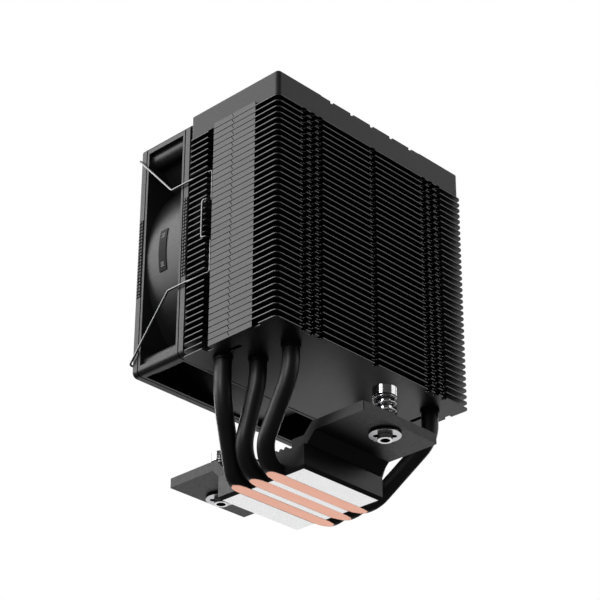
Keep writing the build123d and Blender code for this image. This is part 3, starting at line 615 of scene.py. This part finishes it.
# ---------------------------------------------------------------- springs
def springs():
    """Helical springs with closed ends: angle grows evenly while the height eases in and out."""
    for place, sign in (("front", -1), ("rear", 1)):
        low, high = corners_of(f"spring_{place}")
        bottom, top = low[2] + SPRING_WIRE, high[2] - SPRING_WIRE
        along = np.linspace(0, 1, SPRING_POINTS)
        rise = np.clip((along - SPRING_CLOSED) / (1 - 2 * SPRING_CLOSED), 0, 1)
        rise = rise * rise * (3 - 2 * rise) * SPRING_EASED + rise * (1 - SPRING_EASED)
        height = bottom + (top - bottom) * rise
        angle = 2 * pi * SPRING_TURNS * along
        points = np.stack([SPRING_R * np.cos(angle), sign * SCREW_Y + SPRING_R * np.sin(angle), height],
                          axis=1)
        wire = tube_piece(f"spring_{place}_wire", points, SPRING_WIRE, SPRING_SIDES, "tower",
                          LOOKS["spring_steel"])
        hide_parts(f"spring_{place}")
        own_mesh(wire)


# ---------------------------------------------------------------- small parts of the fan's sides
def block_grid(centres, axes, halves):
    """Points and faces of many small boxes: centre + each of the eight sign triples times the half sizes
    along three given axes."""
    signs = np.array([(x, y, z) for x in (-1, 1) for y in (-1, 1) for z in (-1, 1)])
    points = centres[:, None] + (signs * halves) @ axes
    sides = np.array([(0, 1, 3, 2), (4, 6, 7, 5), (0, 4, 5, 1), (2, 3, 7, 6), (0, 2, 6, 4), (1, 5, 7, 3)])
    faces = sides[None] + BOX_CORNERS * np.arange(len(centres))[:, None, None]
    return points.reshape(-1, 3), faces.reshape(-1, 4).tolist()


def grip_squares():
    """Two columns of tiny raised squares on both flange strips of both sides of the fan: a grid of
    pitch times column number and row number, stood on the side face. Under them lies a thin near-black
    matt sheet, painted shade for the gaps between the squares."""
    rows = np.arange(-GRIP_HALF_LENGTH, GRIP_HALF_LENGTH + GRIP_PITCH / 2, GRIP_PITCH)
    strips = (FAN_FRONT + FLANGE_STRIP / 2, FAN_REAR - FLANGE_STRIP / 2)
    columns = (np.arange(GRIP_COLUMNS) - (GRIP_COLUMNS - 1) / 2) * (GRIP_PITCH * GRIP_NARROW)
    x, strip, column, row = np.meshgrid((-FAN_HALF, FAN_HALF), strips, columns, rows, indexing="ij")
    centres = np.stack([x, strip + column, FAN_Z + row], axis=-1).reshape(-1, 3)
    halves = np.array([GRIP_STAND, GRIP_SIDE / 2 * GRIP_NARROW, GRIP_SIDE / 2])
    points, faces = block_grid(centres, np.eye(3), halves)
    new_piece("fan_grip_squares", points, faces, "tower", LOOKS["fan_plastic"])
    # the dark sheet under each pair of columns: painted shade for the gaps between the squares
    x, y = np.meshgrid((-FAN_HALF, FAN_HALF), strips, indexing="ij")
    centres = np.stack([x, y, np.full_like(x, FAN_Z)], axis=-1).reshape(-1, 3)
    halves = np.array([SHADE_SHEET_STAND, GRIP_PITCH * GRIP_NARROW, GRIP_HALF_LENGTH + GRIP_PITCH / 2])
    points, faces = block_grid(centres, np.eye(3), halves)
    new_piece("fan_grip_painted_shade_sheets", points, faces, "tower", GRIP_PAINTED_SHADE)


def corner_webs():
    """Thin walls from the duct to the four screw posts, between the flanges: boxes turned to each
    corner's diagonal."""
    inner, outer = DUCT_OUTER_R - WEB_HALF_T, HOLE_HALF * sqrt(2) - POST_R + WEB_HALF_T
    middle = np.array([0, (FAN_FRONT + FAN_REAR) / 2, FAN_Z])
    half_depth = (FAN_REAR - FAN_FRONT) / 2 - FLANGE_T + WEB_HALF_T / 4
    halves = np.array([(outer - inner) / 2, half_depth, WEB_HALF_T])
    points, faces = [], []
    for turn in radians(45) + np.arange(4) * pi / 2:
        axes = np.array([(cos(turn), 0, sin(turn)), (0, 1, 0), (-sin(turn), 0, cos(turn))])
        web_points, web_faces = block_grid(middle[None] + axes[0] * (inner + outer) / 2, axes, halves)
        faces += [[corner + BOX_CORNERS * len(points) for corner in face] for face in web_faces]
        points.append(web_points)
    new_piece("fan_corner_webs", np.concatenate(points), faces, "tower", LOOKS["fan_plastic"])


def label_bars():
    """Two groups of short light bars on the blank duct label: boxes at angles round the duct, each
    turned to the duct's own radius."""
    middle_y = FAN_FRONT + LABEL_ALONG * (FAN_REAR - FAN_FRONT)
    turn = BAR_PLACES * LABEL_HALF_LENGTH / DUCT_OUTER_R
    turn = np.concatenate([-turn, turn])
    half_lengths = LABEL_HALF_WIDTH * np.tile(BAR_LENGTHS, 2)
    radius = DUCT_OUTER_R + LABEL_T
    parts = []
    for angle, half_length in zip(turn, half_lengths):
        out = np.array([cos(angle), 0, sin(angle)])
        along = np.array([-sin(angle), 0, cos(angle)])
        centre = np.array([0, middle_y, FAN_Z]) + out * radius
        halves = np.array([BAR_STAND, half_length, BAR_HALF_WIDTH])
        parts.append(block_grid(centre[None], np.array([out, (0, 1, 0), along]), halves))
    points = np.concatenate([part[0] for part in parts])
    faces = [[corner + BOX_CORNERS * number for corner in face]
             for number, part in enumerate(parts) for face in part[1]]
    new_piece("label_bars", points, faces, "tower", PRINT)


# ---------------------------------------------------------------- camera, light and floor
TOWER_MIDDLE = (0, TOWER_Y, 0.075)
# name, direction seen from its target, distance, width and height, brightness, target
SOFT_BOXES = [
    ("side_box", (0.63, -0.61, 0.46), 0.80, (0.75, 0.75), 3.3, TOWER_MIDDLE),
    ("rear_box", (-0.63, 0.61, 0.46), 0.80, (0.70, 0.60), 1.15, TOWER_MIDDLE),
    ("low_box", (-0.60, -0.66, -0.45), 0.55, (0.50, 0.42), 0.85, (0, 0, 0.02)),
    ("pipe_box", (0.93, 0.20, 0.25), 0.80, (0.30, 0.36), 6.0, (0, 0, 0.03)),
    ("fan_box", (-0.35, -1.0, 0.40), 0.80, (0.55, 0.50), 3.2, TOWER_MIDDLE),
    ("left_box", (-1.0, -0.25, 0.40), 0.80, (0.45, 0.50), 2.4, TOWER_MIDDLE),
    ("top_box", (0.1, 0.1, 1.0), 0.90, (0.60, 0.60), 1.6, TOWER_MIDDLE),
]
BACKDROP_STRENGTH = 1.0
SURROUNDINGS_STRENGTH = 0.06
FLOOR_SIZE = 6
FLOOR_GLOW = 0.72
LENS = 124.19
SENSOR_WIDTH = 36
NEAR_END = 0.01
EYE = (0.4600, 0.4451, -0.2742)
AZIMUTH, ELEVATION, ROLL = radians(134.09), radians(-28.72), radians(-0.24)


def aim(obj, target):
    """Turns an object's -Z axis to a point."""
    direction = Vector(target) - obj.location
    obj.rotation_euler = direction.to_track_quat("-Z", "Y").to_euler()


def soft_light(name, toward, distance, size, radiance, target):
    """A rectangular soft box seen in one direction from a target, whose surface has a given brightness."""
    light = bpy.data.lights.new(name, "AREA")
    light.shape = "RECTANGLE"
    light.size, light.size_y = size
    light.energy = radiance * pi * size[0] * size[1]
    obj = bpy.data.objects.new(name, light)
    obj.location = Vector(target) + Vector(toward).normalized() * distance
    bpy.context.scene.collection.objects.link(obj)
    aim(obj, target)
    obj.visible_camera = False


def studio():
    """A white backdrop that only the camera sees, dim surroundings and the soft boxes."""
    world = bpy.data.worlds.new("studio")
    bpy.context.scene.world = world
    world.use_nodes = True
    tree = world.node_tree
    back = tree.nodes["Background"]
    back.inputs["Color"].default_value = WHITE
    back.inputs["Strength"].default_value = BACKDROP_STRENGTH
    dim = tree.nodes.new("ShaderNodeBackground")
    dim.inputs["Color"].default_value = WHITE
    dim.inputs["Strength"].default_value = SURROUNDINGS_STRENGTH
    ray = tree.nodes.new("ShaderNodeLightPath")
    mix = tree.nodes.new("ShaderNodeMixShader")
    tree.links.new(ray.outputs["Is Camera Ray"], mix.inputs["Fac"])
    tree.links.new(dim.outputs["Background"], mix.inputs[1])
    tree.links.new(back.outputs["Background"], mix.inputs[2])
    tree.links.new(mix.outputs["Shader"], tree.nodes["World Output"].inputs["Surface"])
    for soft_box in SOFT_BOXES:
        soft_light(*soft_box)
    bpy.context.scene.view_settings.view_transform = "Standard"


def floor():
    """A pale floor with a glow of its own, level with the base. Only the camera sees it, from above."""
    bpy.ops.mesh.primitive_grid_add(x_subdivisions=2, y_subdivisions=2, size=FLOOR_SIZE,
                                    location=(0, 0, BASE_Z))
    plate = bpy.context.object
    plate.name = "floor"
    look = Look("pale floor", (0.85, 0.85, 0.85), roughness=0.9)
    look.colors(look.noise(3, 2), (0.27, 0.27, 0.27), (0.29, 0.29, 0.29))
    look.shader.inputs["Emission Color"].default_value = WHITE
    look.shader.inputs["Emission Strength"].default_value = FLOOR_GLOW
    clear = look.add("ShaderNodeBsdfTransparent")
    side = look.add("ShaderNodeNewGeometry")
    mix = look.add("ShaderNodeMixShader")
    look.link(side.outputs["Backfacing"], mix.inputs["Fac"])
    look.link(look.shader.outputs["BSDF"], mix.inputs[1])
    look.link(clear.outputs["BSDF"], mix.inputs[2])
    look.link(mix.outputs["Shader"], look.tree.nodes["Material Output"].inputs["Surface"])
    plate.data.materials.append(look.material)
    plate.visible_diffuse = False
    plate.visible_glossy = False
    plate.visible_transmission = False
    plate.visible_shadow = False


def camera():
    """A long lens below the fins, looking up at the rear corner."""
    lens = bpy.data.cameras.new("camera")
    lens.lens = LENS
    lens.sensor_width = SENSOR_WIDTH
    lens.clip_start = NEAR_END
    eye = bpy.data.objects.new("camera", lens)
    eye.location = EYE
    back = Vector((sin(AZIMUTH) * cos(ELEVATION), -cos(AZIMUTH) * cos(ELEVATION), sin(ELEVATION)))
    eye.rotation_mode = "QUATERNION"
    eye.rotation_quaternion = Quaternion(-back, ROLL) @ (-back).to_track_quat("-Z", "Y")
    bpy.context.scene.collection.objects.link(eye)
    bpy.context.scene.camera = eye


dress_frame()
heat_pipes()
wire_clips()
springs()
corner_webs()
grip_squares()
label_bars()
studio()
floor()
camera()
